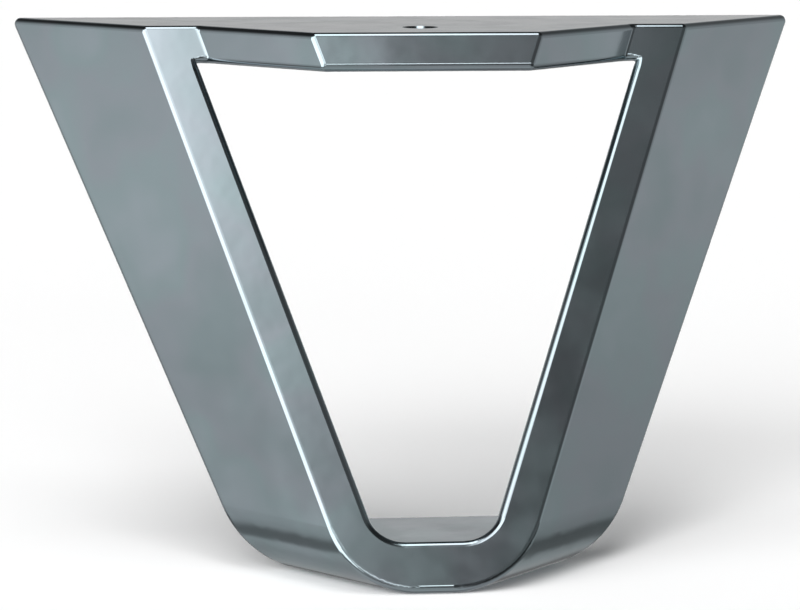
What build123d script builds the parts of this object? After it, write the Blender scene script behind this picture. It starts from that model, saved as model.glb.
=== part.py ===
"""Triangular bed leg, cast in one piece.

Seen from above it is a wide triangle with its points cut off: a straight rear edge, two side panels that
run forward at the panel angle, and a level front. Seen from the front it is a V closed by a bar. Seen from
the side the V leans forward, so the round foot stands ahead of the mounting face.

Frame: origin at the middle of the mounting face, +Z up to the bed, -Y to the front, X across.
All sizes are in millimetres, and are those of the corners before their edges are rounded.
"""
from build123d import *

import os
from math import atan2, hypot, radians, tan

# Overall size
height = 130.0  # floor to mounting face
top_width = 206.6  # tip to tip along the rear edge
top_depth = 62.6  # rear edge to the flat at the front of the bar

# Plan
panel_angle = 45.0  # side panels, measured from the rear edge
strut_depth = 35.8  # rear edge to the front face of a strut, on the mounting face
fold_beside_opening = 0.9  # from a strut's inner edge to the fold where the bar's slanted face starts

# Lean, each measured over the whole height
front_lean = 54.6  # front faces, forward
rear_lean = 64.3  # rear face, forward

# Struts, foot and bar
strut_width = 12.2  # front face of a strut, measured level
foot_width = 38.2  # outside, on the floor, before its corners are rounded
foot_thickness = 11.5
bar_thickness = 9.1
foot_outer_radius = 24.5
foot_inner_radius = 7.5

# Roundings
opening_corner_radius = 0.5  # upper corners of the opening
fold_radius = 1.0
edge_radius = 1.6

# Screw hole
hole_from_rear = 44.5
hole_diameter = 5.3
countersink_diameter = 9.0
countersink_angle = 90.0

smooth_angle = 3.0  # degrees: faces that turn less than this run on smoothly

# Places that follow from the sizes
rear_y = top_depth / 2
strut_y = rear_y - strut_depth
bar_y = -top_depth / 2
panel_slope = tan(radians(panel_angle))
strut_outer_x = top_width / 2 - strut_depth / panel_slope
opening_x = strut_outer_x - strut_width
fold_x = opening_x - fold_beside_opening
flat_x = fold_x - (strut_y - bar_y) / panel_slope
foot_top = height - foot_thickness  # below the mounting face
beyond = 2 * top_depth  # how far each body runs on past what trims it

# Directions and planes that follow from the leans
front_rake = front_lean / height
rear_rake = rear_lean / height
strut_rake = (strut_outer_x - foot_width / 2) / height
foot_turn = atan2(hypot(1, front_rake), strut_rake)  # from a strut to the sole, on the front plane
along_panel = Vector(1, panel_slope, 0)
down_strut = Vector(-strut_rake, -front_rake, -1)
front_plane = Plane(origin=(0, strut_y, 0), x_dir=(1, 0, 0), z_dir=(0, -1, front_rake))
rear_plane = Plane(origin=(0, rear_y, 0), x_dir=(1, 0, 0), z_dir=(0, -1, rear_rake))


def on_front(x, depth):
    """The point of the front plane that lies depth below the mounting face."""
    return (x, -depth * hypot(1, front_rake))


def down_from(x, depth):
    """The point, depth below the mounting face, of the line that runs down a strut from x."""
    return on_front(x - strut_rake * depth, depth)


def foot_rounding(radius, half_width):
    """The radius, or the widest that leaves a little of the foot's level stretch, half_width to the middle."""
    return min(radius, (half_width - edge_radius) / tan(foot_turn / 2))


def outer_profile():
    """Right half of the V seen from the front, its opening not yet cut, carried on past the middle."""
    with BuildSketch(front_plane) as face:
        with BuildLine():
            Polyline(
                down_from(strut_outer_x, -bar_thickness),
                down_from(strut_outer_x, height),
                on_front(-beyond, height),
                on_front(-beyond, -bar_thickness),
                close=True,
            )
        make_face()
        foot_corner = face.vertices().group_by(Axis.Y)[0].sort_by(Axis.X)[-1]
        fillet(foot_corner, foot_rounding(foot_outer_radius, foot_width / 2))
    return face.sketch


def bar_profile():
    """Right half of the bar seen from above, its slanted face carried on into the strut."""
    with BuildSketch(Plane.XY) as face:
        with BuildLine():
            Polyline(
                (-beyond, bar_y),
                (flat_x, bar_y),
                (flat_x + beyond / panel_slope, bar_y + beyond),
                (-beyond, bar_y + beyond),
                close=True,
            )
        make_face()
    return face.sketch


def opening_profile():
    """Right half of the opening, on the front plane, carried on past the middle."""
    with BuildSketch(front_plane) as face:
        with BuildLine():
            Polyline(
                down_from(opening_x, bar_thickness),
                down_from(opening_x, foot_top),
                on_front(-beyond, foot_top),
                on_front(-beyond, bar_thickness),
                close=True,
            )
        make_face()
        bar_corner = face.vertices().group_by(Axis.Y)[-1].sort_by(Axis.X)[-1]
        fillet(bar_corner, opening_corner_radius)
        foot_corner = face.vertices().group_by(Axis.Y)[0].sort_by(Axis.X)[-1]
        fillet(foot_corner, foot_rounding(foot_inner_radius, opening_x - strut_rake * foot_top))
    return face.sketch


def starts_at(x, y):
    """A test for edges that run down from the mounting face at plus or minus x."""
    tops = [Vector(x, y, 0), Vector(-x, y, 0)]
    return lambda edge: any((end - top).length < 0.01 for end in (edge @ 0, edge @ 1) for top in tops)


def is_sharp(edge):
    """True where the two faces beside an edge of the leg meet at an angle."""
    beside = [face.normal_at(edge @ 0.5) for face in leg.faces() if edge in face.edges()]
    return beside[0].get_angle(beside[1]) > smooth_angle


with BuildPart() as leg:
    extrude(outer_profile(), amount=beyond, dir=along_panel)
    extrude(bar_profile(), amount=2 * bar_thickness, dir=down_strut, both=True)
    extrude(opening_profile(), amount=beyond, dir=along_panel, both=True, mode=Mode.SUBTRACT)
    split(bisect_by=Plane.XY, keep=Keep.BOTTOM)
    split(bisect_by=rear_plane, keep=Keep.TOP)
    split(bisect_by=Plane.YZ, keep=Keep.TOP)
    mirror(about=Plane.YZ)

    folds = leg.edges().filter_by(starts_at(fold_x, strut_y)).filter_by(lambda edge: edge.center().Z < 0)
    fillet(folds, fold_radius)
    fillet(leg.edges().filter_by(is_sharp), edge_radius)

    with Locations((0, rear_y - hole_from_rear, 0)):
        CounterSinkHole(
            radius=hole_diameter / 2,
            counter_sink_radius=countersink_diameter / 2,
            depth=2 * bar_thickness,
            counter_sink_angle=countersink_angle,
        )

leg.part.label = "leg"
os.makedirs("parts", exist_ok=True)
export_step(leg.part, "parts/leg.step")
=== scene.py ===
"""Looks of the triangular bed leg: smoky grey chrome in a soft studio, seen as in the photograph."""
from math import cos, pi, radians, sin

import bpy
from mathutils import Matrix, Vector


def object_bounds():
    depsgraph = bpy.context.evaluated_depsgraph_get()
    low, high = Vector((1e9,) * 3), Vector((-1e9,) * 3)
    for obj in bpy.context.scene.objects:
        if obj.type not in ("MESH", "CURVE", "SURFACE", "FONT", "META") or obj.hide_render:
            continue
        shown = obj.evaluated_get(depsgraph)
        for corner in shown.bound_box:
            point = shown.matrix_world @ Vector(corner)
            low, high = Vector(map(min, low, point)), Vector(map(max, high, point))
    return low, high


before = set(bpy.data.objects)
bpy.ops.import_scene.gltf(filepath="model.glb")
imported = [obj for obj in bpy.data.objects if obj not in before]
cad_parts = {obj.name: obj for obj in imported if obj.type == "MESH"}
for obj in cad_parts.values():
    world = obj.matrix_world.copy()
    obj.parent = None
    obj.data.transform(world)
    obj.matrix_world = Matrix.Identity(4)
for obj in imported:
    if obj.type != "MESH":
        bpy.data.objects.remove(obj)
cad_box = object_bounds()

# Photograph and camera
PHOTO_WIDTH = 800  # pixels
FOCAL_PIXELS = 2685.3
CAMERA_AT = Vector((-0.0625, -0.6659, 0.0442))
CAMERA_YAW = radians(5.05)  # turned to the right of the leg's +Y
CAMERA_DOWN = radians(9.764)
CAMERA_ROLL = radians(0.10)
SENSOR_WIDTH = 36.0  # millimetres
NEAREST_SEEN = 0.01

# Studio. Its light depends on the direction only, in degrees: azimuth from the front, positive to the right,
# from -180 to 180, and height above the horizon.
WALLS = [  # height, brightness of the bare room
    (-90, 0.42),
    (-60, 0.81),
    (-39, 0.76),
    (-34, 0.29),
    (-27, 0.27),
    (-21, 0.62),
    (-11, 0.74),
    (-4, 0.99),
    (4, 0.70),
    (12, 0.72),
    (22, 0.49),
    (32, 0.25),
    (42, 0.05),
    (66, 0.06),
]
WALL_SHARE = [  # azimuth, share of that brightness
    (-180, 0.79),
    (-150, 0.95),
    (-120, 0.97),
    (-92, 1.38),
    (-60, 1.12),
    (10, 1.26),
    (50, 0.89),
    (75, 1.02),
    (100, 1.00),
    (130, 0.94),
    (180, 0.79),
]
# Softboxes, boards and cards, each painted over those before it: azimuth from and to, height from and to,
# soft edge across and up, brightness.
PANELS = [
    (161, 230, 12.4, 15.8, 8, 2.5, 1.00),  # pale board behind, to the right, which ends at 180
    (5.5, 66, 6.5, 43, 4.5, 5, 0.21),  # dim wall to the right
    (5.5, 16, 37, 66, 4.5, 3, 0.38),  # its paler upper part, in front
    (14, 67.5, -25.4, 3.8, 6, 6.8, 0.08),  # black card, low on the right
    (-12, 11, -56, -20, 4, 4, 0.90),  # pale board, low in front
    (1, 19, -13, 13.5, 4, 3, 0.15),  # dark card over it
    (-34, 3.2, 8.8, 36, 4.6, 8, 0.92),  # glow under the key
    (-10, 7, 47, 68, 5, 3, 0.55),  # dim ceiling in front
    (-81, -35.8, -23.7, 34, 4, 7.6, 4.9),  # side softbox
    (-64, -25.2, 14.5, 43.7, 15, 4.6, 4.9),  # joins the side softbox to the key
    (-46.3, 1.6, 33, 60, 7.8, 10, 4.6),  # key softbox, high in front
    (-27, 3, -4, 4.8, 3.3, 2.4, 3.0),  # strip light, low in front
    (-1, 17.5, 15.2, 23.5, 3, 2, 5.4),  # thin strip light over it
]
OVERHEAD_HALF_WIDTH = 11  # softbox around the zenith
OVERHEAD_FRONT = -24
OVERHEAD_BACK = 10
OVERHEAD_SOFT_EDGE = 4
OVERHEAD_BRIGHTNESS = 5.0
FLOOR_SIZE = 8.0
FLOOR_COLOUR = (0.93, 0.93, 0.93, 1)

# Smoky chrome
METAL_CLOUDS = [  # place in the noise, colour
    (0.30, (0.176, 0.217, 0.230, 1)),
    (0.46, (0.201, 0.229, 0.250, 1)),
    (0.56, (0.192, 0.238, 0.252, 1)),
    (0.70, (0.217, 0.253, 0.275, 1)),
]
CLOUD_SCALE = 28  # per metre, of the clouds of colour in the plating
CLOUD_DETAIL = 3
SATIN_SCALE = 75  # per metre, of its patches of duller and brighter gloss
SATIN_DETAIL = 5
SATIN_RANGE = (0.3, 0.7)  # of that noise, over which the roughness changes
ROUGHNESS = (0.10, 0.16)
SKIN_SCALE = 110  # per metre, of the soft waves of the casting under the plating
SKIN_DETAIL = 2
SKIN_HEIGHT = 0.00003


def add_camera():
    """The photograph's camera."""
    ahead = cos(CAMERA_DOWN)
    forward = Vector((sin(CAMERA_YAW) * ahead, cos(CAMERA_YAW) * ahead, -sin(CAMERA_DOWN)))
    level_right = Vector((cos(CAMERA_YAW), -sin(CAMERA_YAW), 0))
    level_up = level_right.cross(forward)
    right = cos(CAMERA_ROLL) * level_right + sin(CAMERA_ROLL) * level_up
    up = right.cross(forward)
    data = bpy.data.cameras.new("camera")
    data.sensor_width = SENSOR_WIDTH
    data.lens = FOCAL_PIXELS / PHOTO_WIDTH * SENSOR_WIDTH
    data.clip_start = NEAREST_SEEN
    camera = bpy.data.objects.new("camera", data)
    turn = Matrix((right, up, -forward)).transposed()
    camera.matrix_world = Matrix.Translation(CAMERA_AT) @ turn.to_4x4()
    bpy.context.scene.collection.objects.link(camera)
    bpy.context.scene.camera = camera


class Nodes:
    """Short ways to add nodes to a tree and join them."""

    def __init__(self, tree):
        self.tree = tree

    def add(self, kind, **settings):
        node = self.tree.nodes.new(kind)
        for name, value in settings.items():
            setattr(node, name, value)
        return node

    def join(self, source, target):
        self.tree.links.new(source, target)

    def math(self, operation, *values):
        """A Math node whose inputs are numbers or sockets; gives its output."""
        node = self.add("ShaderNodeMath", operation=operation)
        for slot, value in zip(node.inputs, values):
            if isinstance(value, (int, float)):
                slot.default_value = value
            else:
                self.join(value, slot)
        return node.outputs[0]

    def step(self, value, start, end, low=0.0, high=1.0):
        """Goes smoothly from low to high while value goes from start to end."""
        node = self.add("ShaderNodeMapRange", interpolation_type="SMOOTHSTEP")
        self.join(value, node.inputs["Value"])
        for name, number in zip(("From Min", "From Max", "To Min", "To Max"), (start, end, low, high)):
            node.inputs[name].default_value = number
        return node.outputs["Result"]

    def between(self, value, low, high, soft_edge):
        """1 while value is between low and high, 0 outside, with a soft edge."""
        risen = self.step(value, low - soft_edge, low + soft_edge)
        return self.math("MULTIPLY", risen, self.step(value, high + soft_edge, high - soft_edge))

    def degrees(self, angle):
        """An angle that is in radians, in degrees."""
        return self.math("MULTIPLY", angle, 180 / pi)

    def noise(self, place, scale, detail):
        """Cloudy noise from 0 to 1."""
        node = self.add("ShaderNodeTexNoise")
        self.join(place, node.inputs["Vector"])
        node.inputs["Scale"].default_value = scale
        node.inputs["Detail"].default_value = detail
        return node.outputs[0]

    def curve(self, value, places):
        """Runs smoothly through the (value, result) pairs of places."""
        result = places[0][1]
        for (start, low), (end, high) in zip(places, places[1:]):
            result = self.math("ADD", result, self.step(value, start, end, 0, high - low))
        return result

    def paint(self, light, inside, brightness):
        """Covers the light with a brightness, as far as inside goes from 0 to 1."""
        left = self.math("MULTIPLY", light, self.math("SUBTRACT", 1, inside))
        return self.math("ADD", left, self.math("MULTIPLY", inside, brightness))


def add_studio():
    """The room's light: walls that darken upwards, then softboxes, boards, cards and an overhead light."""
    studio = bpy.data.worlds.new("studio")
    studio.use_nodes = True
    bpy.context.scene.world = studio
    n = Nodes(studio.node_tree)
    direction = n.add("ShaderNodeSeparateXYZ")
    n.join(n.add("ShaderNodeTexCoord").outputs["Generated"], direction.inputs[0])
    x, y, z = direction.outputs
    azimuth = n.degrees(n.math("ARCTAN2", x, n.math("MULTIPLY", y, -1)))
    height = n.degrees(n.math("ARCSINE", z))
    across = n.degrees(n.math("ARCSINE", x))  # from the zenith to the right
    along = n.degrees(n.math("ARCTAN2", y, z))  # from the zenith to the back

    light = n.math("MULTIPLY", n.curve(height, WALLS), n.curve(azimuth, WALL_SHARE))
    for left, right, low, high, soft_across, soft_up, brightness in PANELS:
        level = n.between(height, low, high, soft_up)
        inside = n.math("MULTIPLY", n.between(azimuth, left, right, soft_across), level)
        light = n.paint(light, inside, brightness)

    in_width = n.between(across, -OVERHEAD_HALF_WIDTH, OVERHEAD_HALF_WIDTH, OVERHEAD_SOFT_EDGE)
    in_length = n.between(along, OVERHEAD_FRONT, OVERHEAD_BACK, OVERHEAD_SOFT_EDGE)
    light = n.paint(light, n.math("MULTIPLY", in_width, in_length), OVERHEAD_BRIGHTNESS)

    background = studio.node_tree.nodes["Background"]
    background.inputs["Color"].default_value = (1, 1, 1, 1)
    n.join(light, background.inputs["Strength"])


def add_floor():
    """Plain pale floor under the foot. The metal mirrors the room's lower half in its place."""
    bpy.ops.mesh.primitive_plane_add(size=FLOOR_SIZE, location=(0, 0, cad_box[0][2]))
    floor = bpy.context.object
    floor.name = "floor"
    floor.visible_glossy = False
    material = bpy.data.materials.new("floor")
    material.use_nodes = True
    shader = material.node_tree.nodes["Principled BSDF"]
    shader.inputs["Base Color"].default_value = FLOOR_COLOUR
    shader.inputs["Roughness"].default_value = 1.0
    shader.inputs["Specular IOR Level"].default_value = 0.0
    floor.data.materials.append(material)


def smoky_chrome():
    """Smoky grey chrome: satin, faintly cloudy, over the soft waves of a casting."""
    material = bpy.data.materials.new("smoked_chrome")
    material.use_nodes = True
    n = Nodes(material.node_tree)
    shader = material.node_tree.nodes["Principled BSDF"]
    shader.inputs["Metallic"].default_value = 1.0
    place = n.add("ShaderNodeTexCoord").outputs["Object"]

    colour = n.add("ShaderNodeValToRGB")
    n.join(n.noise(place, CLOUD_SCALE, CLOUD_DETAIL), colour.inputs["Fac"])
    stops = colour.color_ramp.elements
    stops[0].position, stops[0].color = METAL_CLOUDS[0]
    stops[1].position, stops[1].color = METAL_CLOUDS[-1]
    for position, shade in METAL_CLOUDS[1:-1]:
        stops.new(position).color = shade
    n.join(colour.outputs["Color"], shader.inputs["Base Color"])
    satin = n.step(n.noise(place, SATIN_SCALE, SATIN_DETAIL), *SATIN_RANGE, *ROUGHNESS)
    n.join(satin, shader.inputs["Roughness"])

    skin = n.add("ShaderNodeBump")
    skin.inputs["Distance"].default_value = SKIN_HEIGHT
    n.join(n.noise(place, SKIN_SCALE, SKIN_DETAIL), skin.inputs["Height"])
    n.join(skin.outputs["Normal"], shader.inputs["Normal"])
    return material


add_camera()
add_studio()
add_floor()
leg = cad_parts["leg"]
leg.data.materials.clear()
leg.data.materials.append(smoky_chrome())

bpy.context.scene.view_settings.view_transform = "Standard"
